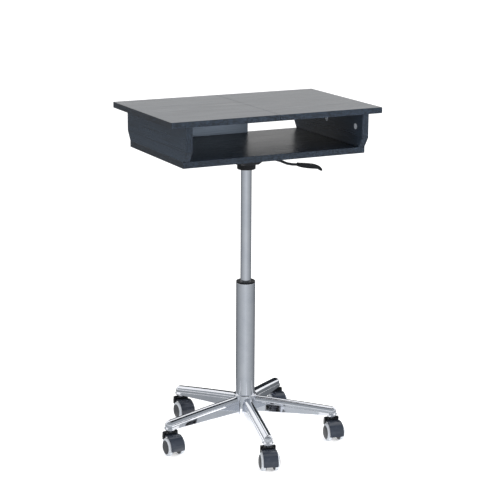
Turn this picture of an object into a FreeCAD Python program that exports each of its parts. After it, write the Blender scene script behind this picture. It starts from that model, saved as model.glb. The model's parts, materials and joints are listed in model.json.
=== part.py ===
"""Height-adjustable mobile lectern: a shelf box on a gas-lift column and a five-star castor base.

Millimetres, +Z up, +Y towards the back, origin on the floor in the middle of the footprint.
The pieces are drawn around the column's centre line and from a level DATUM_DROP below the floor,
and are then moved to the origin's frame: the column stands COLUMN_Y behind the origin.
Each physical piece is written to parts/NODE.step as its own solid.
"""
import FreeCAD, Part
import math
import os

V = FreeCAD.Vector
Y_AXIS = V(0, 1, 0)
Z_AXIS = V(0, 0, 1)

# ---- driving dimensions: place of the column, desktop and shelf box ----
COLUMN_Y = 26.7
DATUM_DROP = 1.0
DESK_TOP = 892.0
DESK_WIDTH = 580.0
DESK_DEPTH = 366.0
DESK_THICKNESS = 15.0
SEAM_GAP = 0.4
EDGE_SOFTNESS = 0.8

BOX_WIDTH = 504.0
BOX_TOP_DEPTH = 362.0
BOX_FOOT_DEPTH = 329.0
PANEL_THICKNESS = 18.0
BOTTOM_THICKNESS = 16.0
PANEL_STRAIGHT = 60.5
PANEL_SLANT = 25.0
BACK_PANEL_WIDTH = 312.0

DESK_UNDERSIDE = DESK_TOP - DESK_THICKNESS
BOTTOM_TOP = DESK_UNDERSIDE - PANEL_STRAIGHT - PANEL_SLANT
BOTTOM_UNDERSIDE = BOTTOM_TOP - BOTTOM_THICKNESS
PANEL_INNER_X = BOX_WIDTH / 2 - PANEL_THICKNESS

# ---- driving dimensions: fittings in the boards ----
CAM_RADIUS = 7.5
CAM_DEPTH = 12.5
CAM_DROP = 35.0
CAM_PITCH = 147.0
CAM_SLOT_WIDTH = 1.6
CAM_BOLT_RADIUS = 3.0
CAM_BOLT_TOP = DESK_UNDERSIDE + 11.0

SCREW_RADIUS = 2.5
SCREW_LENGTH = 12.0
SCREW_HEAD_RADIUS = 5.0
SCREW_HEAD_HEIGHT = 2.4
SCREW_SLOT_DEPTH = 1.2

JOIN_PLATE_LENGTH = 60.0
JOIN_PLATE_WIDTH = 30.0
JOIN_PLATE_THICKNESS = 2.0
JOIN_PLATE_Y = (-125.0, 0.0, 115.0)
JOIN_SCREW_X = 20.0
JOIN_SCREW_Y = 8.0

# ---- driving dimensions: mounting plate under the box ----
FLANGE_SIZE = 150.0
PLATE_GAUGE = 2.5
FLANGE_CORNER = 10.0
PLATE_SCREW_OFFSET = 66.5
PAN_DEPTH = 36.0
PAN_FLOOR_SIZE = (58.0, 52.0)
PAN_MOUTH_SIZE = (126.0, 114.0)
PAN_FLOOR_CORNER = 12.0
PAN_MOUTH_CORNER = 20.0
SLEEVE_RADIUS = 19.0
SLEEVE_BOTTOM = 729.0
SLEEVE_TOP = 754.0
COLLAR_RADIUS = 24.0
COLLAR_BOTTOM = 726.0
COLLAR_ROUNDING = 2.0

PAN_FLOOR = BOTTOM_UNDERSIDE - PAN_DEPTH
FLANGE_UNDERSIDE = BOTTOM_UNDERSIDE - PLATE_GAUGE

# ---- driving dimensions: gas-lift column ----
TUBE_RADIUS = 25.0
TUBE_WALL = 2.0
TUBE_BOTTOM = 74.0
TUBE_TOP = 425.0
TUBE_FLOOR_THICKNESS = 6.0
BUSH_TOP = 430.0
BUSH_BOTTOM = 350.0
GAS_RADIUS = 14.0
GAS_TIP_RADIUS = 13.0
GAS_BOTTOM = 347.0
GAS_TOP = 752.0
GAS_BORE_RADIUS = 11.5
GAS_END_WALL = 6.0
GAS_CAP_WALL = 14.0
ROD_RADIUS = 5.0
ROD_TOP = 376.0
PISTON_HEIGHT = 10.0
THRUST_RADIUS = 12.0
THRUST_HEIGHT = 3.0
PIN_RADIUS = 3.0
PIN_BOTTOM = 741.0
PIN_TOP = 758.8
RUNNING_GAP = 0.05

# ---- driving dimensions: height lever ----
LEVER_PIVOT = (30.0, 758.5)
LEVER_ROUTE = ((-5.0, 763.4), (30.0, 758.5), (58.0, 751.0), (97.0, 739.5), (118.0, 730.3),
               (134.0, 726.6), (166.0, 723.2))
LEVER_ROD_RADIUS = 3.5
LEVER_PIN_RADIUS = 2.5
LEVER_PIN_HALF = 12.5
LEVER_SLOT_HALF = 6.0
LEVER_SLOT_HEIGHTS = (744.0, 768.0)
LEVER_EAR_GAP = 8.0
LEVER_EAR_THICKNESS = 3.0
LEVER_EAR_SIZE = (12.0, 24.0)
GRIP_CROWN = ((150.5, 729.9), (173.0, 726.8), (192.0, 723.8), (205.0, 720.6), (215.0, 714.2), (221.0, 704.8))
GRIP_BELLY = ((217.6, 703.2), (213.0, 707.2), (205.0, 709.6), (192.0, 711.4), (173.0, 714.2), (150.5, 719.8))
GRIP_ROOT_WIDTH = 12.0
GRIP_TIP_WIDTH = 18.0
GRIP_WIDEST = 188.0
GRIP_EDGE_ROUNDING = 1.8
GRIP_TIP_ROUNDING = 6.0

# ---- driving dimensions: five-star base ----
LEG_COUNT = 5
LEG_NAMES = ("rear_left", "front_left", "front", "right", "rear_right")
FIRST_LEG_ANGLE = 113.9
HUB_RADIUS = 30.0
HUB_BOTTOM = 66.0
HUB_TOP = 120.0
HUB_SEAT_LEDGE = 4.0
HUB_ROUNDING = 3.0
LEG_ROOT_TOP = 114.0
LEG_FALL = 0.115
LEG_BOW = 0.00008
LEG_ROOT_BOTTOM = 75.0
LEG_TIP_BOTTOM = 66.0
LEG_FOOT_HALF = 15.0
LEG_CROWN_HALF = 12.5
LEG_CROWN_RISE = 12.0
LEG_CROWN_DEPTH = 16.0
LEG_LEDGE = 0.9
LEG_SKIN = 2.5
LEG_ROOT_OVERLAP = 5.0
HOLLOW_ROOT_GAP = 6.0
HOLLOW_TIP_GAP = 18.0
LEG_STATIONS = 6
STEM_RADIUS_FROM_COLUMN = 230.0
STEM_BOSS_RADIUS = 13.0
STEM_BOSS_BOTTOM = 62.0

# ---- driving dimensions: twin-wheel castors (u = trailing, v = along the axle) ----
TRAIL_ANGLES = {"rear_left": -89.0, "front_left": -89.0, "front": -107.0,
                "right": -100.0, "rear_right": -100.0}
TRAIL = 22.5
AXLE_HEIGHT = 25.0
WHEEL_RADIUS = AXLE_HEIGHT - DATUM_DROP
TREAD_INNER_RADIUS = 18.0
TREAD_INNER_ROUNDING = 1.5
TREAD_OUTER_ROUNDING = 5.2
WHEEL_INNER_FACE = 10.2
TREAD_INNER_FACE = 12.0
TREAD_OUTER_FACE = 23.2
WHEEL_FLANGE_RADIUS = 22.0
CAP_CROWN = 27.6
CAP_STEPS = 8
AXLE_RADIUS = 3.0
AXLE_HALF = 20.0
AXLE_END_GAP = 0.5
WEB_HALF = 8.6
HOOD_HALF = 19.2
HOOD_RADIUS = 28.0
HOOD_SKIN = 1.8
HOOD_RIM_ROUNDING = 0.8
HOOD_LIP_ROUNDING = 3.2
HOOD_START_ANGLE = -14.0
HOOD_END_ANGLE = 118.0
HUB_BOSS_RADIUS = 10.0
DECK_HALF = 17.0
DECK_TOP = 52.4
DECK_RANGE = (6.0, 18.0)
SOCKET_RADIUS = 6.6
SOCKET_BOTTOM = 33.0
SOCKET_TOP = 56.0
STEM_RADIUS = 5.5
STEM_TOP = 76.0
STEM_FLANGE_RADIUS = 6.2
STEM_FLANGE_BOTTOM = 56.4
STEM_PIVOT_RADIUS = 4.0
STEM_PIVOT_BOTTOM = 38.0

# ---- driving dimensions: castor brake levers ----
BRAKE_PIVOT = (-2.0, 50.0)
BRAKE_TRUNNION_RADIUS = 2.8
BRAKE_PIN_RADIUS = 2.0
BRAKE_CHEEK_INNER = 13.2
BRAKE_SIDE_GAP = 0.4
BRAKE_CHEEK_OUTER = 19.6
BRAKE_CHEEK_OUTLINE = ((-5.5, 53.0), (-5.5, 57.2), (-4.0, 58.6), (4.2, 58.6), (5.2, 57.4),
                       (5.2, 47.0), (3.5, 40.0), (-1.0, 37.0), (-6.0, 37.0), (-7.0, 46.0))
BRAKE_PLATE_HEIGHTS = (53.2, 56.2)
BRAKE_PLATE_RANGE = (-11.0, 10.8)
BRAKE_PLATE_ROUNDING = 3.0
BRAKE_SOCKET_HOLE = 7.8
BRAKE_SHOE_RADIUS = 26.5


# ---- plain shapes ----
def cylinder(radius, bottom, top, x=0.0, y=0.0):
    return Part.makeCylinder(radius, top - bottom, V(x, y, bottom))


def cross_cylinder(radius, start_y, end_y, x, z):
    """A cylinder lying along +Y."""
    return Part.makeCylinder(radius, end_y - start_y, V(x, start_y, z), Y_AXIS)


def block(x_range, y_range, z_range):
    size = [high - low for low, high in (x_range, y_range, z_range)]
    return Part.makeBox(*size, V(x_range[0], y_range[0], z_range[0]))


def prism(points, sweep):
    """A flat outline of 3-D points, swept along a vector."""
    outline = Part.makePolygon([V(*point) for point in points] + [V(*points[0])])
    return Part.Face(outline).extrude(sweep)


def rod_through(points, radius):
    """A round bar through points, with round elbows."""
    bar = Part.makeSphere(radius, points[0])
    for start, end in zip(points, points[1:]):
        run = end - start
        bar = bar.fuse([Part.makeCylinder(radius, run.Length, start, run), Part.makeSphere(radius, end)])
    return bar.removeSplitter()


def softened(shape, radius=EDGE_SOFTNESS):
    return shape.makeFillet(radius, shape.Edges)


def rounded_rectangle(size, corner, z):
    """A closed wire, centred on the column, in a level plane."""
    half_x, half_y = size[0] / 2, size[1] / 2
    edges = []
    for turn in range(4):
        along, across = (half_x, half_y) if turn % 2 == 0 else (half_y, half_x)
        start, end = V(along, corner - across, 0), V(along, across - corner, 0)
        middle = V(along - corner * (1 - math.sqrt(0.5)), across - corner * (1 - math.sqrt(0.5)), 0)
        finish = V(along - corner, across, 0)
        side = [Part.makeLine(start, end), Part.Arc(end, middle, finish).toShape()]
        for edge in side:
            edge.rotate(V(), Z_AXIS, 90 * turn)
            edge.translate(V(0, 0, z))
        edges += side
    return Part.Wire(edges)


# ---- shelf box ----
def desktop_leaf(side):
    inner, outer = SEAM_GAP / 2, DESK_WIDTH / 2
    x_range = (inner, outer) if side > 0 else (-outer, -inner)
    return softened(block(x_range, (-DESK_DEPTH / 2, DESK_DEPTH / 2), (DESK_UNDERSIDE, DESK_TOP)))


def side_panel(side):
    top_y, foot_y = BOX_TOP_DEPTH / 2, BOX_FOOT_DEPTH / 2
    knee = DESK_UNDERSIDE - PANEL_STRAIGHT
    inner = side * PANEL_INNER_X
    profile = [(-top_y, DESK_UNDERSIDE), (-top_y, knee), (-foot_y, BOTTOM_TOP),
               (foot_y, BOTTOM_TOP), (top_y, knee), (top_y, DESK_UNDERSIDE)]
    return softened(prism([(inner, y, z) for y, z in profile], V(side * PANEL_THICKNESS, 0, 0)))


def bottom_panel():
    half_depth = BOX_FOOT_DEPTH / 2
    board = block((-BOX_WIDTH / 2, BOX_WIDTH / 2), (-half_depth, half_depth), (BOTTOM_UNDERSIDE, BOTTOM_TOP))
    return softened(board)


def back_panel():
    rear = BOX_FOOT_DEPTH / 2
    x_range = (-PANEL_INNER_X, BACK_PANEL_WIDTH - PANEL_INNER_X)
    return softened(block(x_range, (rear - PANEL_THICKNESS, rear), (BOTTOM_TOP, DESK_UNDERSIDE)))


def cam_fitting(side, y):
    """One cam in a side panel's inner face and the bolt that it pulls down out of the desktop."""
    cam_z = DESK_UNDERSIDE - CAM_DROP
    inward = V(side, 0, 0)
    face = V(side * PANEL_INNER_X, y, cam_z)
    bolt_x = side * (PANEL_INNER_X + PANEL_THICKNESS / 2)
    cam = Part.makeCylinder(CAM_RADIUS, CAM_DEPTH, face, inward)
    slot = Part.makeBox(2 * CAM_SLOT_WIDTH, CAM_SLOT_WIDTH, 1.4 * CAM_RADIUS)
    slot.translate(face - V(CAM_SLOT_WIDTH, CAM_SLOT_WIDTH / 2, 0.7 * CAM_RADIUS))
    bolt = cylinder(CAM_BOLT_RADIUS, cam_z + 1.0, CAM_BOLT_TOP, bolt_x, y)
    cam = cam.cut([slot, bolt])
    return cam, bolt


# ---- fasteners and joining plates ----
def screw(x, y, seat):
    """A pan-head wood screw pointing up, its head against the level seat."""
    shank = cylinder(SCREW_RADIUS, seat, seat + SCREW_LENGTH, x, y)
    head = cylinder(SCREW_HEAD_RADIUS, seat - SCREW_HEAD_HEIGHT, seat, x, y)
    head = head.makeFillet(0.9, [edge for edge in head.Edges if edge.BoundBox.ZMax < seat - 1])
    drive = SCREW_SLOT_DEPTH
    low = seat - SCREW_HEAD_HEIGHT
    cross = [block((x - 3, x + 3), (y - 0.5, y + 0.5), (low, low + drive)),
             block((x - 0.5, x + 0.5), (y - 3, y + 3), (low, low + drive))]
    return head.cut(cross).fuse(shank).removeSplitter()


def joining_plate(y):
    half_x, half_y = JOIN_PLATE_LENGTH / 2, JOIN_PLATE_WIDTH / 2
    low = DESK_UNDERSIDE - JOIN_PLATE_THICKNESS
    plate = block((-half_x, half_x), (y - half_y, y + half_y), (low, DESK_UNDERSIDE))
    corners = [edge for edge in plate.Edges if edge.BoundBox.ZLength > JOIN_PLATE_THICKNESS / 2]
    return plate.makeFillet(4.0, corners)


def fastener_places():
    """(x, y, seat height) of every wood screw."""
    places = [(x, y, FLANGE_UNDERSIDE) for x in (-PLATE_SCREW_OFFSET, PLATE_SCREW_OFFSET)
              for y in (-PLATE_SCREW_OFFSET, PLATE_SCREW_OFFSET)]
    seat = DESK_UNDERSIDE - JOIN_PLATE_THICKNESS
    for plate_y in JOIN_PLATE_Y:
        places += [(x, plate_y + y, seat)
                   for x in (-JOIN_SCREW_X, JOIN_SCREW_X) for y in (-JOIN_SCREW_Y, JOIN_SCREW_Y)]
    return places


# ---- gas-lift column ----
def gas_cylinder_outline():
    straight = cylinder(GAS_RADIUS, GAS_BOTTOM, SLEEVE_BOTTOM)
    taper = Part.makeCone(GAS_RADIUS, GAS_TIP_RADIUS, GAS_TOP - SLEEVE_BOTTOM, V(0, 0, SLEEVE_BOTTOM))
    return straight.fuse(taper).removeSplitter()


def gas_cylinder():
    bore = cylinder(GAS_BORE_RADIUS, GAS_BOTTOM + GAS_END_WALL, GAS_TOP - GAS_CAP_WALL)
    rod_hole = cylinder(ROD_RADIUS + RUNNING_GAP, GAS_BOTTOM, GAS_BOTTOM + GAS_END_WALL)
    pin_hole = cylinder(PIN_RADIUS + RUNNING_GAP, GAS_TOP - GAS_CAP_WALL, GAS_TOP)
    return gas_cylinder_outline().cut([bore, rod_hole, pin_hole])


def column_tube():
    inner = TUBE_RADIUS - TUBE_WALL
    floor_top = TUBE_BOTTOM + TUBE_FLOOR_THICKNESS
    tube = cylinder(TUBE_RADIUS, TUBE_BOTTOM, TUBE_TOP)
    rod_hole = cylinder(ROD_RADIUS + RUNNING_GAP, TUBE_BOTTOM, floor_top)
    return tube.cut([cylinder(inner, floor_top, TUBE_TOP), rod_hole])


def tube_bush():
    """Plastic guide bush: a long sleeve in the tube with a rim that caps the tube's mouth."""
    sleeve = cylinder(TUBE_RADIUS - TUBE_WALL, BUSH_BOTTOM, TUBE_TOP)
    rim = cylinder(TUBE_RADIUS, TUBE_TOP, BUSH_TOP)
    rim = rim.makeFillet(1.5, [edge for edge in rim.Edges if edge.BoundBox.ZMin > BUSH_TOP - 0.1])
    return sleeve.fuse(rim).removeSplitter().cut(cylinder(GAS_RADIUS + RUNNING_GAP, BUSH_BOTTOM, BUSH_TOP))


def piston_rod():
    """Rod, piston and thrust flange: the flange turns on the tube's floor."""
    floor_top = TUBE_BOTTOM + TUBE_FLOOR_THICKNESS
    rod = cylinder(ROD_RADIUS, TUBE_BOTTOM, ROD_TOP)
    piston = cylinder(GAS_BORE_RADIUS - RUNNING_GAP, ROD_TOP - PISTON_HEIGHT, ROD_TOP)
    thrust = cylinder(THRUST_RADIUS, floor_top + RUNNING_GAP, floor_top + THRUST_HEIGHT)
    return rod.fuse([piston, thrust]).removeSplitter()


def release_pin():
    pin = cylinder(PIN_RADIUS, PIN_BOTTOM, PIN_TOP)
    return pin.makeFillet(1.0, [edge for edge in pin.Edges if edge.BoundBox.ZMin > PIN_TOP - 0.1])


# ---- mounting plate, collar and height lever ----
def pan_solid(inset, floor, mouth):
    """Tapered dish with rounded corners, drawn in from the pan's outside by an inset."""
    rims = ((PAN_FLOOR_SIZE, PAN_FLOOR_CORNER, floor), (PAN_MOUTH_SIZE, PAN_MOUTH_CORNER, mouth))
    return Part.makeLoft([rounded_rectangle([length - 2 * inset for length in size], corner - inset, z)
                          for size, corner, z in rims], True, True)


def mount_plate():
    """Pressed pan with a flange, a tapered sleeve for the gas lift and two ears for the lever's pin."""
    mouth = FLANGE_UNDERSIDE + PLATE_GAUGE
    half = FLANGE_SIZE / 2
    flange = block((-half, half), (-half, half), (FLANGE_UNDERSIDE, mouth))
    flange = flange.makeFillet(FLANGE_CORNER, [edge for edge in flange.Edges if edge.BoundBox.ZLength > 1])
    pan = pan_solid(0.0, PAN_FLOOR, mouth)
    plate = flange.fuse(pan).cut(pan_solid(PLATE_GAUGE, PAN_FLOOR + PLATE_GAUGE, mouth))

    pivot_x, pivot_z = LEVER_PIVOT
    ear_length, ear_height = LEVER_EAR_SIZE
    ear_xs = (pivot_x - ear_length / 2, pivot_x + ear_length / 2)
    for side in (-1, 1):
        ear_ys = sorted((side * LEVER_EAR_GAP, side * (LEVER_EAR_GAP + LEVER_EAR_THICKNESS)))
        plate = plate.fuse(block(ear_xs, ear_ys, (PAN_FLOOR + 1, PAN_FLOOR + ear_height)).common(pan))
    plate = plate.fuse(cylinder(SLEEVE_RADIUS, SLEEVE_BOTTOM, SLEEVE_TOP))

    pin_bore = cross_cylinder(LEVER_PIN_RADIUS + RUNNING_GAP, -half, half, pivot_x, pivot_z)
    sleeve_mouth = cylinder(GAS_TIP_RADIUS, GAS_TOP, SLEEVE_TOP)
    slot_xs, slot_ys = (ear_xs[1], PAN_MOUTH_SIZE[0] / 2), (-LEVER_SLOT_HALF, LEVER_SLOT_HALF)
    lever_slot = block(slot_xs, slot_ys, LEVER_SLOT_HEIGHTS)
    screw_holes = [cylinder(SCREW_RADIUS, FLANGE_UNDERSIDE, mouth, x, y)
                   for x, y, seat in fastener_places() if seat == FLANGE_UNDERSIDE]
    cuts = [gas_cylinder_outline(), sleeve_mouth, pin_bore, lever_slot] + screw_holes
    return plate.cut(cuts).removeSplitter()


def plate_collar():
    """Plastic ring that dresses the sleeve between the pan and the gas cylinder."""
    ring = cylinder(COLLAR_RADIUS, COLLAR_BOTTOM, PAN_FLOOR)
    lower_rim = [edge for edge in ring.Edges if edge.BoundBox.ZMax < COLLAR_BOTTOM + 0.1]
    ring = ring.makeFillet(COLLAR_ROUNDING, lower_rim)
    return ring.cut([cylinder(SLEEVE_RADIUS, SLEEVE_BOTTOM, PAN_FLOOR),
                     cylinder(GAS_RADIUS, COLLAR_BOTTOM, SLEEVE_BOTTOM)])


def lever_rod():
    pivot_x, pivot_z = LEVER_PIVOT
    bar = rod_through([V(x, 0, z) for x, z in LEVER_ROUTE], LEVER_ROD_RADIUS)
    cross_pin = cross_cylinder(LEVER_PIN_RADIUS, -LEVER_PIN_HALF, LEVER_PIN_HALF, pivot_x, pivot_z)
    return bar.fuse(cross_pin).removeSplitter()


def lever_grip():
    """Paddle grip: a side outline curling down at the tip, met by a plan outline widening from the root."""
    crown, belly = Part.BSplineCurve(), Part.BSplineCurve()
    upper = [V(x, 0, z) for x, z in GRIP_CROWN]
    lower = [V(x, 0, z) for x, z in GRIP_BELLY]
    crown.interpolate(upper)
    belly.interpolate(lower)
    outline = Part.Wire([crown.toShape(), Part.makeLine(upper[-1], lower[0]), belly.toShape(),
                         Part.makeLine(lower[-1], upper[0])])
    outline.translate(V(0, -GRIP_TIP_WIDTH, 0))
    side = Part.Face(outline).extrude(V(0, 2 * GRIP_TIP_WIDTH, 0))
    root, tip = GRIP_ROOT_WIDTH / 2, GRIP_TIP_WIDTH / 2
    start, end = upper[0].x, upper[-1].x + 1.0
    low, high = lower[0].z - 1.0, upper[0].z + 1.0
    edge_line = [(start, root), (GRIP_WIDEST, tip), (end, tip)]
    plan = prism([(x, y, low) for x, y in edge_line] + [(x, -y, low) for x, y in reversed(edge_line)],
                 V(0, 0, high - low))
    corners = [edge for edge in plan.Edges if edge.BoundBox.ZLength > 1 and edge.BoundBox.XMin > end - 0.5]
    grip = side.common(plan.makeFillet(GRIP_TIP_ROUNDING, corners))
    grip = grip.makeFillet(GRIP_EDGE_ROUNDING, [edge for edge in grip.Edges if edge.Length > 30])
    return grip.cut(rod_through([V(x, 0, z) for x, z in LEVER_ROUTE[-2:]], LEVER_ROD_RADIUS))


# ---- five-star base, each leg drawn along +X and then turned to its place ----
def leg_top(radius):
    run = radius - HUB_RADIUS
    return LEG_ROOT_TOP - LEG_FALL * run - LEG_BOW * run * run


def leg_foot(radius):
    share = (radius - HUB_RADIUS) / (STEM_RADIUS_FROM_COLUMN - HUB_RADIUS)
    return LEG_ROOT_BOTTOM + share * (LEG_TIP_BOTTOM - LEG_ROOT_BOTTOM)


def leg_section(radius, skin):
    """Arched crown on a small ledge over flared sides; a positive skin gives the hollow's, open below."""
    top, foot = leg_top(radius) - skin, leg_foot(radius) - 2 * skin
    spring, ledge = leg_top(radius) - LEG_CROWN_RISE, leg_top(radius) - LEG_CROWN_DEPTH
    crown_half, foot_half = LEG_CROWN_HALF - skin, LEG_FOOT_HALF - skin
    half = [(foot_half, foot), (crown_half + LEG_LEDGE, ledge), (crown_half, ledge), (crown_half, spring)]
    left, right = [[V(radius, side * y, z) for y, z in half] for side in (-1, 1)]
    arch = Part.Arc(left[-1], V(radius, 0, top), right[-1]).toShape()
    return Part.Wire([Part.makePolygon(left), arch, Part.makePolygon(right[::-1] + left[:1])])


def leg_body(start, end, skin):
    radii = [start + (end - start) * step / (LEG_STATIONS - 1) for step in range(LEG_STATIONS)]
    return Part.makeLoft([leg_section(radius, skin) for radius in radii], True, False)


def leg_end():
    """Domed end: the leg's section over the castor, turned about the castor's stem."""
    radius = STEM_RADIUS_FROM_COLUMN
    section = Part.Face(leg_section(radius, 0.0))
    near_half = section.common(block((radius - 1, radius + 1), (0, LEG_FOOT_HALF), (0, LEG_ROOT_TOP)))
    return near_half.revolve(V(radius, 0, 0), V(0, 0, 1), 360)


def base_leg():
    body = leg_body(HUB_RADIUS - LEG_ROOT_OVERLAP, STEM_RADIUS_FROM_COLUMN, 0.0)
    hollow = leg_body(HUB_RADIUS + HOLLOW_ROOT_GAP, STEM_RADIUS_FROM_COLUMN - HOLLOW_TIP_GAP, LEG_SKIN)
    boss_top = leg_foot(STEM_RADIUS_FROM_COLUMN) + LEG_SKIN
    boss = cylinder(STEM_BOSS_RADIUS, STEM_BOSS_BOTTOM, boss_top, STEM_RADIUS_FROM_COLUMN)
    boss = boss.makeFillet(1.0, [edge for edge in boss.Edges if edge.BoundBox.ZMax < STEM_BOSS_BOTTOM + 0.1])
    stem_bore = cylinder(STEM_RADIUS, STEM_BOSS_BOTTOM, STEM_TOP, STEM_RADIUS_FROM_COLUMN)
    hub_seat = cylinder(HUB_RADIUS, 0, LEG_ROOT_TOP + 1)
    return body.fuse([leg_end(), boss]).cut([hollow, stem_bore, hub_seat]).removeSplitter()


def base_hub():
    hub = cylinder(HUB_RADIUS, HUB_BOTTOM, HUB_TOP)
    hub = hub.makeFillet(HUB_ROUNDING, [edge for edge in hub.Edges if edge.BoundBox.ZMin > HUB_TOP - 0.1])
    tube_seat = cylinder(TUBE_RADIUS, TUBE_BOTTOM, HUB_TOP)
    drain = cylinder(TUBE_RADIUS - HUB_SEAT_LEDGE, HUB_BOTTOM, TUBE_BOTTOM)
    return hub.cut([tube_seat, drain])


# ---- castors: stem axis at the origin, wheels trailing along +X, axle along Y ----
def castor_stem():
    parts = [cylinder(STEM_FLANGE_RADIUS, STEM_FLANGE_BOTTOM, STEM_BOSS_BOTTOM),
             cylinder(STEM_PIVOT_RADIUS, STEM_PIVOT_BOTTOM, STEM_FLANGE_BOTTOM)]
    return cylinder(STEM_RADIUS, STEM_BOSS_BOTTOM, STEM_TOP).fuse(parts).removeSplitter()


def around_axle(angle, radius):
    turn = math.radians(angle)
    return V(TRAIL + radius * math.cos(turn), 0, AXLE_HEIGHT + radius * math.sin(turn))


def hood_sector(radius, half_width):
    """Slice of a disc on the axle, from the hood's trailing lip to its leading lip."""
    middle = (HOOD_START_ANGLE + HOOD_END_ANGLE) / 2
    start, end = around_axle(HOOD_START_ANGLE, radius), around_axle(HOOD_END_ANGLE, radius)
    axle = around_axle(0, 0)
    rim = Part.Arc(start, around_axle(middle, radius), end).toShape()
    outline = Part.Wire([Part.makeLine(axle, start), rim, Part.makeLine(end, axle)])
    outline.translate(V(0, -half_width, 0))
    return Part.Face(outline).extrude(V(0, 2 * half_width, 0))


def castor_hood():
    """Centre web with the stem socket, a fender over both wheels and a level deck behind the stem."""
    axle = around_axle(0, 0)
    wheel_space = cross_cylinder(HOOD_RADIUS - HOOD_SKIN, -HOOD_HALF, HOOD_HALF, axle.x, axle.z)
    fender = hood_sector(HOOD_RADIUS, HOOD_HALF).cut(wheel_space)
    lip = [edge for edge in fender.Edges if edge.BoundBox.YLength < 1 and edge.BoundBox.ZMax < AXLE_HEIGHT]
    fender = fender.makeFillet(HOOD_LIP_ROUNDING, lip)
    rim = [edge for edge in fender.Edges if edge.BoundBox.YLength < 1 and edge.BoundBox.ZLength > HOOD_RADIUS]
    fender = fender.makeFillet(HOOD_RIM_ROUNDING, rim)
    deck = block(DECK_RANGE, (-DECK_HALF, DECK_HALF), (AXLE_HEIGHT, DECK_TOP)).cut(wheel_space)

    web = hood_sector(HOOD_RADIUS - HOOD_SKIN / 2, WEB_HALF)
    boss = cross_cylinder(HUB_BOSS_RADIUS, -WEB_HALF, WEB_HALF, axle.x, axle.z)
    gusset = prism([(0, -WEB_HALF, SOCKET_BOTTOM), (axle.x - 8, -WEB_HALF, axle.z - 8),
                    (axle.x, -WEB_HALF, axle.z + HOOD_RADIUS - HOOD_SKIN), (0, -WEB_HALF, DECK_TOP)],
                   V(0, 2 * WEB_HALF, 0))
    socket = cylinder(SOCKET_RADIUS, SOCKET_BOTTOM, SOCKET_TOP)
    pivot_u, pivot_z = BRAKE_PIVOT
    shoulder = BRAKE_CHEEK_INNER - BRAKE_SIDE_GAP
    trunnion = cross_cylinder(BRAKE_TRUNNION_RADIUS, -shoulder, shoulder, pivot_u, pivot_z)
    pin_half = BRAKE_CHEEK_OUTER - BRAKE_SIDE_GAP
    pins = cross_cylinder(BRAKE_PIN_RADIUS, -pin_half, pin_half, pivot_u, pivot_z)
    hood = web.fuse([fender, deck, boss, gusset, socket, trunnion, pins])
    stem_bore = cylinder(STEM_PIVOT_RADIUS + RUNNING_GAP, STEM_PIVOT_BOTTOM - 1, SOCKET_TOP)
    axle_bore = cross_cylinder(AXLE_RADIUS, -WEB_HALF, WEB_HALF, axle.x, axle.z)
    return hood.cut([stem_bore, axle_bore]).removeSplitter()


def castor_brake():
    """Rocking saddle: a plate round the stem socket, with a horned cheek and shoe at each side."""
    pivot_u, pivot_z = BRAKE_PIVOT
    low, high = BRAKE_PLATE_HEIGHTS
    plate = block(BRAKE_PLATE_RANGE, (-BRAKE_CHEEK_INNER - 1, BRAKE_CHEEK_INNER + 1), (low, high))
    corners = [edge for edge in plate.Edges if edge.BoundBox.ZLength > 1]
    plate = plate.makeFillet(BRAKE_PLATE_ROUNDING, corners)
    outer = BRAKE_CHEEK_OUTER
    across = V(0, outer - BRAKE_CHEEK_INNER, 0)
    cheeks = [prism([(u, start, z) for u, z in BRAKE_CHEEK_OUTLINE], across)
              for start in (-outer, BRAKE_CHEEK_INNER)]
    lever = plate.fuse(cheeks)
    wheel_space = cross_cylinder(BRAKE_SHOE_RADIUS, -outer, outer, TRAIL, AXLE_HEIGHT)
    pin_bore = cross_cylinder(BRAKE_PIN_RADIUS + RUNNING_GAP, -outer, outer, pivot_u, pivot_z)
    socket_hole = cylinder(BRAKE_SOCKET_HOLE, low, high)
    return lever.cut([wheel_space, pin_bore, socket_hole]).removeSplitter()


def castor_axle():
    return cross_cylinder(AXLE_RADIUS, -AXLE_HALF, AXLE_HALF, TRAIL, AXLE_HEIGHT)


def turned(profile):
    """A (radius, distance along the axle) outline revolved about the axle."""
    points = [V(TRAIL + radius, along, AXLE_HEIGHT) for radius, along in profile]
    face = Part.Face(Part.makePolygon(points + points[:1]))
    return face.revolve(V(TRAIL, 0, AXLE_HEIGHT), Y_AXIS, 360)


def wheel_core():
    """Moulded wheel with a domed outer cap and a blind bore for the axle."""
    rise = CAP_CROWN - TREAD_OUTER_FACE
    turns = [math.radians(90 * step / CAP_STEPS) for step in range(CAP_STEPS)]
    dome = [(TREAD_INNER_RADIUS * math.cos(turn), TREAD_OUTER_FACE + rise * math.sin(turn)) for turn in turns]
    bore, bore_end = AXLE_RADIUS + RUNNING_GAP, AXLE_HALF + AXLE_END_GAP
    return turned([(bore, WHEEL_INNER_FACE), (WHEEL_FLANGE_RADIUS, WHEEL_INNER_FACE),
                   (WHEEL_FLANGE_RADIUS, TREAD_INNER_FACE), (TREAD_INNER_RADIUS, TREAD_INNER_FACE)]
                  + dome + [(0, CAP_CROWN), (0, bore_end), (bore, bore_end)])


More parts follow.
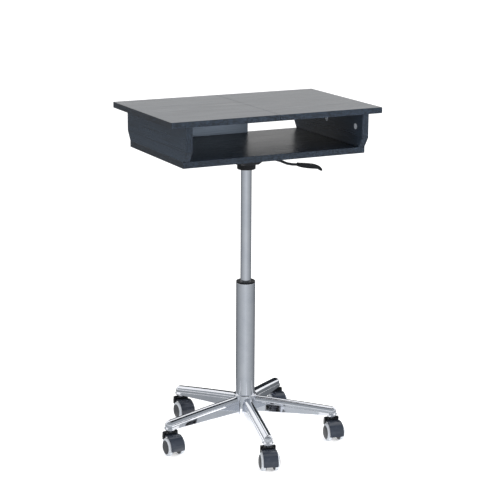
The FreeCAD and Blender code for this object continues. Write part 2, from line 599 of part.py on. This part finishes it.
def wheel_tread():
    """Soft ring, crowned by a wide rounding on its outer shoulder."""
    ring = turned([(TREAD_INNER_RADIUS, TREAD_INNER_FACE), (WHEEL_RADIUS, TREAD_INNER_FACE),
                   (WHEEL_RADIUS, TREAD_OUTER_FACE), (TREAD_INNER_RADIUS, TREAD_OUTER_FACE)])
    shoulders = ((TREAD_INNER_FACE, TREAD_INNER_ROUNDING), (TREAD_OUTER_FACE, TREAD_OUTER_ROUNDING))
    for face_y, rounding in shoulders:
        rims = [edge for edge in ring.Edges if edge.BoundBox.XLength > 2 * WHEEL_RADIUS - 1]
        ring = ring.makeFillet(rounding, [edge for edge in rims if abs(edge.BoundBox.YMin - face_y) < 0.5])
    return ring


def castor_pieces():
    """Every swivelling piece of one castor, by name."""
    pieces = {"castor_hood": castor_hood(), "castor_brake": castor_brake(), "castor_axle": castor_axle()}
    for side, name in ((1, "right"), (-1, "left")):
        for piece, shape in (("wheel", wheel_core()), ("tread", wheel_tread())):
            placed = shape if side > 0 else shape.mirror(V(), Y_AXIS)
            pieces[piece + "_" + name] = placed
    return pieces


# ---- assembly ----
def stem_place(index):
    angle = math.radians(FIRST_LEG_ANGLE + index * 360 / LEG_COUNT)
    return V(STEM_RADIUS_FROM_COLUMN * math.cos(angle), STEM_RADIUS_FROM_COLUMN * math.sin(angle), 0)


def placed_copy(shape, angle, place=V()):
    copy = shape.copy()
    copy.rotate(V(), Z_AXIS, angle)
    copy.translate(place)
    return copy


def build_box(nodes):
    fittings = [cam_fitting(side, y) for side in (-1, 1) for y in (-CAM_PITCH, 0.0, CAM_PITCH)]
    hardware = [piece for fitting in fittings for piece in fitting]
    cam_z = DESK_UNDERSIDE - CAM_DROP
    cam_holes = [Part.makeCylinder(CAM_RADIUS, CAM_DEPTH, V(side * PANEL_INNER_X, y, cam_z), V(side, 0, 0))
                 for side in (-1, 1) for y in (-CAM_PITCH, 0.0, CAM_PITCH)]
    bolts = [bolt for cam, bolt in fittings]
    screws = [screw(*place) for place in fastener_places()]
    nodes["cam_locks"] = Part.makeCompound(hardware)
    nodes["wood_screws"] = Part.makeCompound(screws)
    nodes["desktop_left"] = desktop_leaf(-1).cut(bolts + screws)
    nodes["desktop_right"] = desktop_leaf(1).cut(bolts + screws)
    nodes["side_panel_left"] = side_panel(-1).cut(bolts + cam_holes)
    nodes["side_panel_right"] = side_panel(1).cut(bolts + cam_holes)
    nodes["bottom_panel"] = bottom_panel().cut(screws)
    nodes["back_panel"] = back_panel()
    nodes["joining_plates"] = Part.makeCompound([joining_plate(y).cut(screws) for y in JOIN_PLATE_Y])


def build_column(nodes):
    nodes["column_tube"] = column_tube()
    nodes["tube_bush"] = tube_bush()
    nodes["piston_rod"] = piston_rod()
    nodes["gas_cylinder"] = gas_cylinder()
    nodes["release_pin"] = release_pin()
    nodes["mount_plate"] = mount_plate()
    nodes["plate_collar"] = plate_collar()
    nodes["lever_rod"] = lever_rod()
    nodes["lever_grip"] = lever_grip()


def build_base(nodes):
    leg = base_leg()
    castor = castor_pieces()
    stem = castor_stem()
    stems = []
    nodes["base_hub"] = base_hub()
    for index, name in enumerate(LEG_NAMES):
        nodes[name + "_leg"] = placed_copy(leg, FIRST_LEG_ANGLE + index * 360 / LEG_COUNT)
        stems.append(placed_copy(stem, 0, stem_place(index)))
        for piece, shape in castor.items():
            nodes[name + "_" + piece] = placed_copy(shape, TRAIL_ANGLES[name], stem_place(index))
    nodes["castor_stems"] = Part.makeCompound(stems)


def main():
    nodes = {}
    build_box(nodes)
    build_column(nodes)
    build_base(nodes)
    os.makedirs("parts", exist_ok=True)
    for name, shape in nodes.items():
        shape.translate(V(0, COLUMN_Y, -DATUM_DROP))
        state = "valid" if shape.isValid() else "INVALID"
        print(name, state, len(shape.Solids), round(shape.Volume / 1000, 2), "cm3")
        shape.exportStep("parts/" + name + ".step")


main()
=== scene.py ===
import bpy
import json
import math
from mathutils import Matrix, Vector


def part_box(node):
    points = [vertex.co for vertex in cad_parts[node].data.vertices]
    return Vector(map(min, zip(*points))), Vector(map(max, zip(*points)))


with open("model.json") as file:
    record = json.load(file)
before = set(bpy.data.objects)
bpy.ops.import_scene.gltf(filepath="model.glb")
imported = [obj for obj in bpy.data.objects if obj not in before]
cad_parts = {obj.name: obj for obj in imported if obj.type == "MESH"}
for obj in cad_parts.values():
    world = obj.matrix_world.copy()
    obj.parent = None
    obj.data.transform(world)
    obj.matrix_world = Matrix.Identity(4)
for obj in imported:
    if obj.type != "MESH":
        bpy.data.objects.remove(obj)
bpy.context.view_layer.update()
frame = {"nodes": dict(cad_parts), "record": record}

NODES = frame["nodes"]
COLUMN = (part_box("gas_cylinder")[0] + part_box("gas_cylinder")[1]) / 2
AXIS_X, AXIS_Y = COLUMN.x, COLUMN.y


# ---------------------------------------------------------------- node building
class Net:
    """A material's node tree, with short calls for the nodes used here."""

    def __init__(self, name):
        self.material = bpy.data.materials.new(name)
        self.material.use_nodes = True
        self.tree = self.material.node_tree
        self.shader = self.tree.nodes["Principled BSDF"]

    def node(self, kind, values=None, **settings):
        made = self.tree.nodes.new(kind)
        for key, value in settings.items():
            setattr(made, key, value)
        for socket, value in (values or {}).items():
            if isinstance(value, bpy.types.NodeSocket):
                self.tree.links.new(value, made.inputs[socket])
            else:
                made.inputs[socket].default_value = value
        return made

    def set(self, **values):
        """Shader sockets by name, with _ for a space. A number is set, an output is linked."""
        for key, value in values.items():
            socket = self.shader.inputs[key.replace("_", " ")]
            if isinstance(value, bpy.types.NodeSocket):
                self.tree.links.new(value, socket)
            else:
                socket.default_value = value

    def place(self, scale=(1, 1, 1)):
        coordinates = self.node("ShaderNodeTexCoord").outputs["Object"]
        return self.node("ShaderNodeMapping", {"Vector": coordinates, "Scale": scale}).outputs[0]

    def noise(self, scale, place=None, detail=2.0, roughness=0.5, distortion=0.0):
        values = {"Scale": scale, "Detail": detail, "Roughness": roughness, "Distortion": distortion}
        values["Vector"] = place if place is not None else self.place()
        return self.node("ShaderNodeTexNoise", values).outputs["Fac"]

    def remap(self, value, low, high, out_low, out_high, smooth=False):
        values = {"Value": value, "From Min": low, "From Max": high, "To Min": out_low, "To Max": out_high}
        steps = "SMOOTHSTEP" if smooth else "LINEAR"
        return self.node("ShaderNodeMapRange", values, interpolation_type=steps).outputs[0]

    def math(self, operation, a, b=0.0):
        return self.node("ShaderNodeMath", {0: a, 1: b}, operation=operation).outputs[0]

    def mix(self, factor, a, b):
        return self.node("ShaderNodeMix", {0: factor, 6: a, 7: b}, data_type="RGBA").outputs[2]

    def soft_edge(self, radius):
        """The surface normal, rounded over at the edges as plating, paint and moulding leave them."""
        return self.node("ShaderNodeBevel", {"Radius": radius}, samples=6).outputs[0]

    def bump(self, height, strength, distance, normal=None):
        values = {"Height": height, "Strength": strength, "Distance": distance}
        if normal is not None:
            values["Normal"] = normal
        return self.node("ShaderNodeBump", values).outputs[0]


def rgb(r, g, b):
    """A colour as it is seen on a screen, 0 to 255, as linear light."""
    parts = [c / 255 for c in (r, g, b)]
    return tuple(c / 12.92 if c <= 0.04045 else ((c + 0.055) / 1.055) ** 2.4 for c in parts) + (1.0,)


# ---------------------------------------------------------------- materials
TAPE_GLOSS = 0.5
CHROME_ROUGHNESS = 0.045
CHROME_WAVES = 0.10


def board_material(name, grain_axis, thin_axis, lift=0, joints=(), gloss=0.5):
    """Dark blue-grey laminate: pores and streaks along the grain, with speckled tape on the narrow edges.

    Each joint is (axis, place, half width): a hairline where two boards or two lengths of tape meet.
    """
    net = Net(name)
    scale_long, scale_across = 7.0, 420.0
    stretch = [scale_across] * 3
    stretch[grain_axis] = scale_long
    grain_place = net.place(scale=tuple(stretch))
    pores = net.noise(1.0, grain_place, detail=3.0, roughness=0.65)
    wide = [38.0] * 3
    wide[grain_axis] = 1.3
    streaks = net.noise(1.0, net.place(scale=tuple(wide)), detail=4.0, roughness=0.6, distortion=0.6)
    cloud = net.noise(5.0, detail=2.0)
    speckle = net.noise(900.0, detail=1.0)
    grit = net.noise(260.0, detail=2.0, roughness=0.7)

    normal = net.node("ShaderNodeTexCoord").outputs["Normal"]
    parts = net.node("ShaderNodeSeparateXYZ", {0: normal}).outputs
    facing = net.math("ABSOLUTE", parts[thin_axis])
    face = net.remap(facing, 0.6, 0.8, 0.0, 1.0)

    # lift raises or lowers every face tone of one board: painted light on the back panel, painted shade on the
    # bottom panel.
    deep = net.mix(net.remap(streaks, 0.3, 0.7, 0.0, 1.0),
                   rgb(31 + lift, 40 + lift, 51 + lift), rgb(38 + lift, 48 + lift, 60 + lift))
    deep = net.mix(net.remap(cloud, 0.35, 0.7, 0.0, 0.35), deep, rgb(41 + lift, 52 + lift, 65 + lift))
    deep = net.mix(net.remap(pores, 0.54, 0.7, 0.0, 0.75), deep, rgb(20, 27, 35))
    tape = net.mix(net.remap(grit, 0.44, 0.58, 0.0, 1.0), rgb(2, 6, 12), rgb(24, 34, 46))
    tape = net.mix(net.remap(speckle, 0.56, 0.7, 0.0, 0.75), tape, rgb(66, 79, 95))
    colour = net.mix(face, tape, deep)
    glue = net.math("MULTIPLY", net.remap(facing, 0.35, 0.6, 0.0, 0.5, smooth=True),
                    net.remap(facing, 0.8, 0.97, 1.0, 0.0, smooth=True))
    colour = net.mix(glue, colour, rgb(20, 25, 32))
    placed = net.node("ShaderNodeSeparateXYZ", {0: net.place()}).outputs
    for axis, place, half_width in joints:
        away = net.math("ABSOLUTE", net.math("SUBTRACT", placed[axis], place))
        colour = net.mix(net.remap(away, half_width * 0.4, half_width, 0.85, 0.0), colour, rgb(14, 18, 24))
    net.set(Base_Color=colour)

    gloss_face = net.remap(pores, 0.35, 0.7, 0.26, 0.38)
    gloss_tape = net.remap(grit, 0.3, 0.7, 0.42, 0.6)
    rough = net.node("ShaderNodeMix", {0: face, 2: gloss_tape, 3: gloss_face}, data_type="FLOAT").outputs[0]
    net.set(Roughness=rough)
    height = net.node("ShaderNodeMix", {0: face, 2: grit, 3: pores}, data_type="FLOAT").outputs[0]
    net.set(Normal=net.bump(height, 0.22, 0.00025))
    shine = net.node("ShaderNodeMix", {0: face, 2: TAPE_GLOSS, 3: gloss}, data_type="FLOAT").outputs[0]
    net.set(IOR=1.5, Specular_IOR_Level=shine)
    return net.material


def chrome_material(name):
    """Polished plating, with a polishing wheel's faint swirl and a slow ripple in the reflections."""
    net = Net(name)
    swirl = net.noise(1.0, net.place(scale=(900.0, 900.0, 60.0)), detail=2.0)
    film = net.noise(22.0, detail=4.0, roughness=0.6)
    slow = net.noise(16.0, detail=1.0)
    net.set(Base_Color=net.mix(net.remap(film, 0.35, 0.7, 0.0, 1.0), rgb(238, 240, 245), rgb(226, 229, 236)))
    net.set(Metallic=1.0)
    smooth, dull = CHROME_ROUGHNESS * 0.7, CHROME_ROUGHNESS * 1.6
    net.set(Roughness=net.remap(net.math("ADD", swirl, film), 0.7, 1.3, smooth, dull))
    first = net.bump(swirl, 0.02, 0.00004, net.soft_edge(0.0013))
    net.set(Normal=net.bump(slow, CHROME_WAVES, 0.0004, first))
    return net.material


def zinc_material(name, metal=1.0, lift=0):
    """Plated steel: a dull bright skin with a fine crystalline mottle."""
    net = Net(name)
    mottle = net.node("ShaderNodeTexVoronoi", {"Vector": net.place(), "Scale": 700.0}).outputs["Color"]
    value = net.node("ShaderNodeSeparateColor", {0: mottle}).outputs[0]
    fine = net.noise(2400.0, detail=2.0)
    net.set(Base_Color=net.mix(value, rgb(206 + lift, 210 + lift, 216 + lift),
                               rgb(184 + lift, 189 + lift, 197 + lift)))
    net.set(Metallic=metal)
    net.set(Roughness=net.remap(net.math("ADD", value, fine), 0.4, 1.6, 0.2, 0.38))
    net.set(Normal=net.bump(fine, 0.12, 0.00005))
    return net.material


def moulded_material(name, dark, light, roughness, grain, depth, specular=0.5, coat=0.0):
    """Moulded plastic: fine spark-eroded grain, slow gloss variation and a little colour drift."""
    net = Net(name)
    fine = net.noise(grain, detail=3.0, roughness=0.6)
    slow = net.noise(45.0, detail=3.0)
    net.set(Base_Color=net.mix(net.remap(slow, 0.3, 0.7, 0.0, 1.0), dark, light))
    net.set(Roughness=net.remap(net.math("ADD", fine, slow), 0.7, 1.3, roughness * 0.85, roughness * 1.2))
    net.set(Normal=net.bump(fine, depth, 0.00012, net.soft_edge(0.0007)))
    net.set(Specular_IOR_Level=specular, Coat_Weight=coat, Coat_Roughness=0.2)
    return net.material


def rubber_material(name):
    """Soft light-grey tread: matt, with a fine flow texture and grey scuffing from the floor."""
    net = Net(name)
    fine = net.noise(1300.0, detail=2.0)
    scuff = net.noise(140.0, detail=5.0, roughness=0.7)
    colour = net.mix(net.remap(scuff, 0.42, 0.72, 0.0, 0.7), rgb(186, 190, 196), rgb(160, 164, 170))
    net.set(Base_Color=colour)
    net.set(Roughness=net.remap(scuff, 0.3, 0.7, 0.45, 0.65))
    net.set(Normal=net.bump(fine, 0.2, 0.0001))
    return net.material


X, Y, Z = 0, 1, 2
KINK_DEPTH = 0.0605
KINK_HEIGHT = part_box("side_panel_left")[1].z - KINK_DEPTH
SEAM_HALF_WIDTH, TAPE_JOINT_HALF_WIDTH = 0.0011, 0.0008
MATERIALS = {
    "desktop": board_material("laminate_desktop", X, Z, joints=[(X, 0.0, SEAM_HALF_WIDTH)]),
    # Bottom panel: the same laminate darkened by lift=-24, painted shade for the shade inside the box.
    "shelf": board_material("laminate_shelf_painted_shade", X, Z, lift=-24, gloss=0.12),
    "side": board_material("laminate_side", Y, X, joints=[(Z, KINK_HEIGHT, TAPE_JOINT_HALF_WIDTH)]),
    # Back panel: the same laminate lightened by lift=60, painted light for the front light falling on its
    # inner face; its outer face gets it too.
    "back": board_material("laminate_back_painted_light", X, Y, lift=60),
    "polished_chrome": chrome_material("chrome_polished"),
    "black_plastic": moulded_material("plastic_black", rgb(10, 11, 13), rgb(15, 16, 19), 0.34, 1500.0, 0.3,
                                      specular=0.28),
    "black_painted_steel": moulded_material("paint_black", rgb(14, 15, 18), rgb(20, 21, 25), 0.3, 900.0, 0.35,
                                            specular=0.35),
    "zinc_steel": zinc_material("zinc_plate"),
    "nickel": zinc_material("nickel_plate", metal=0.45, lift=24),
    "hood_plastic": moulded_material("plastic_hood", rgb(36, 41, 50), rgb(42, 47, 57), 0.24, 1700.0, 0.06,
                                     coat=0.3),
    "wheel_plastic": moulded_material("plastic_wheel", rgb(52, 53, 56), rgb(66, 67, 70), 0.5, 1200.0, 0.35),
    "tread_rubber": rubber_material("rubber_tread"),
}
FINISHES = {"side_panel_left": "side", "side_panel_right": "side", "back_panel": "back",
            "bottom_panel": "shelf", "cam_locks": "nickel"}


def dress(piece, material):
    piece.data.materials.clear()
    piece.data.materials.append(material)


for row in frame["record"]["subparts"]:
    node, slot = row["node"], row["material_slot"]
    key = FINISHES.get(node, "desktop" if slot == "laminated_board" else slot)
    dress(NODES[node], MATERIALS[key])


# ---------------------------------------------------------------- floor, reflectors and light
def sheet_mesh(name, points, material):
    """One flat polygon through points given in metres."""
    mesh = bpy.data.meshes.new(name)
    mesh.from_pydata(points, [], [tuple(range(len(points)))])
    made = bpy.data.objects.new(name, mesh)
    bpy.context.scene.collection.objects.link(made)
    made.data.materials.append(material)


def floor_material():
    net = Net("floor_paper")
    fibre = net.noise(90.0, detail=3.0)
    net.set(Base_Color=net.mix(fibre, (0.93, 0.93, 0.935, 1.0), (0.95, 0.95, 0.955, 1.0)))
    net.set(Roughness=0.8, Specular_IOR_Level=0.1)
    net.set(Emission_Color=(1.0, 1.0, 1.0, 1.0), Emission_Strength=0.3)
    return net.material


def card_material(name, grey):
    """A glowing card of one tone: a grey as seen on a screen, slightly cool."""
    net = Net(name)
    net.set(Base_Color=(0.0, 0.0, 0.0, 1.0), Roughness=1.0, Specular_IOR_Level=0.0)
    net.set(Emission_Color=rgb(grey - CARD_COOLNESS, grey, grey + CARD_COOLNESS), Emission_Strength=1.0)
    return net.material


def fading_material(name, front, back):
    """A glowing card that fades evenly from one grey in front of the lectern to another behind it."""
    net = Net(name)
    sweep = net.node("ShaderNodeTexGradient", {"Vector": net.place()}, gradient_type="RADIAL").outputs["Fac"]
    from_middle = net.math("ABSOLUTE", net.math("SUBTRACT", sweep, 0.5))
    share = net.remap(from_middle, 0.0, 0.5, 0.0, 1.0)
    tones = [rgb(grey - CARD_COOLNESS, grey, grey + CARD_COOLNESS) for grey in (front, back)]
    net.set(Base_Color=(0.0, 0.0, 0.0, 1.0), Roughness=1.0, Specular_IOR_Level=0.0)
    net.set(Emission_Color=net.mix(share, *tones), Emission_Strength=1.0)
    return net.material


FLOOR_HALF = 40.0
square = [(FLOOR_HALF * x, FLOOR_HALF * y, 0.0) for x, y in ((-1, -1), (1, -1), (1, 1), (-1, 1))]
sheet_mesh("floor", square, floor_material())

# The camera stands at the front left.
CAMERA = Vector((-1.7047, -3.3479, 1.4686))
YAW, PITCH, ROLL = 0.4706, 0.2482, 0.00637
SENSOR = 36.0
FOCAL = SENSOR * 1501.83 / 500

forward = Vector((math.sin(YAW) * math.cos(PITCH), math.cos(YAW) * math.cos(PITCH), -math.sin(PITCH)))
right = Vector((math.cos(YAW), -math.sin(YAW), 0.0))
up = right.cross(forward)
rolled_right = right * math.cos(ROLL) + up * math.sin(ROLL)
rolled_up = up * math.cos(ROLL) - right * math.sin(ROLL)
turn = Matrix((rolled_right, rolled_up, -forward)).transposed().to_4x4()
camera = bpy.data.objects.new("camera", bpy.data.cameras.new("camera"))
camera.data.lens = FOCAL
camera.data.sensor_width = SENSOR
camera.data.clip_start, camera.data.clip_end = 0.05, 200.0
camera.matrix_world = Matrix.Translation(CAMERA) @ turn
bpy.context.scene.collection.objects.link(camera)
bpy.context.scene.camera = camera


def area_light(name, place, target, size, power):
    light = bpy.data.lights.new(name, "AREA")
    light.shape = "RECTANGLE"
    light.size, light.size_y = size
    light.energy = power
    made = bpy.data.objects.new(name, light)
    made.location = place
    made.rotation_euler = (Vector(target) - Vector(place)).to_track_quat("-Z", "Y").to_euler()
    made.visible_glossy = False
    bpy.context.scene.collection.objects.link(made)


# Studio cards, seen in reflections only, drawn about the column's axis with azimuth 0 towards the camera:
# a grey floor round the white paper, a grey wall and a dark flag above it on the camera's side, and a low dark
# flag close behind the base, which outlines the polished legs. Distances in metres from the column, angles in
# degrees, greys as seen on a screen. Rims are (distance from the column, height).
CARD_COOLNESS = 4
CARD_STEP = 4.0
CARD_HEIGHT = 0.0015
PAPER_RADIUS, FLOOR_REACH = 0.25, 30.0
FLOOR_FRONT, FLOOR_BACK = 205, 60
WALL_RADIUS, WALL_TURN, WALL_GREY = 32.0, 100.0, 160
WALL_FOOT, WALL_TOP, FLAG_TOP = 8.0, 60.0, 74.0
FLAG_RADIUS, FLAG_HEIGHT, FLAG_TURN, FLAG_GREY = 0.82, 0.77, 30.0, 44


def card(name, material, start, end, near, far):
    """A band of card from start to end azimuth between two round rims."""
    steps = int((end - start) / CARD_STEP)
    turns = [math.radians(start + (end - start) * step / steps) for step in range(steps + 1)]
    points = [(distance * math.cos(turn), distance * math.sin(turn), height)
              for turn in turns for distance, height in (near, far)]
    mesh = bpy.data.meshes.new(name)
    mesh.from_pydata(points, [], [(2 * i, 2 * i + 1, 2 * i + 3, 2 * i + 2) for i in range(steps)])
    made = bpy.data.objects.new(name, mesh)
    made.location = (AXIS_X, AXIS_Y, 0.0)
    made.rotation_euler = (0.0, 0.0, math.atan2(CAMERA.y - AXIS_Y, CAMERA.x - AXIS_X))
    made.visible_camera = False
    made.visible_diffuse = False
    made.visible_shadow = False
    made.visible_transmission = False
    bpy.context.scene.collection.objects.link(made)
    made.data.materials.append(material)


def wall_rim(elevation):
    angle = math.radians(elevation)
    return (WALL_RADIUS * math.cos(angle), WALL_RADIUS * math.sin(angle))


card("card_floor", fading_material("card_floor", FLOOR_FRONT, FLOOR_BACK), -180.0, 180.0,
     (PAPER_RADIUS, CARD_HEIGHT), (FLOOR_REACH, CARD_HEIGHT))
card("card_wall", card_material("card_wall", WALL_GREY), -WALL_TURN, WALL_TURN,
     wall_rim(WALL_FOOT), wall_rim(WALL_TOP))
card("card_high_flag", card_material("card_high_flag", FLAG_GREY), -WALL_TURN, WALL_TURN,
     wall_rim(WALL_TOP), wall_rim(FLAG_TOP))
card("card_low_flag", card_material("card_low_flag", FLAG_GREY), 180.0 - FLAG_TURN, 180.0 + FLAG_TURN,
     (FLAG_RADIUS, CARD_HEIGHT), (FLAG_RADIUS, FLAG_HEIGHT))

SKY_STRENGTH = 1.05
world = bpy.data.worlds.new("studio")
bpy.context.scene.world = world
world.use_nodes = True
background = world.node_tree.nodes["Background"]
background.inputs["Color"].default_value = (1.0, 1.0, 1.0, 1.0)
background.inputs["Strength"].default_value = SKY_STRENGTH

area_light("key", (1.0, -1.95, 0.9), (-0.05, 0.1, 0.84), (0.9, 0.6), 56.0)
area_light("fill", (-1.4, -1.8, 2.6), (0.0, 0.0, 0.5), (1.6, 1.6), 14.0)

bpy.context.scene.view_settings.view_transform = "Standard"
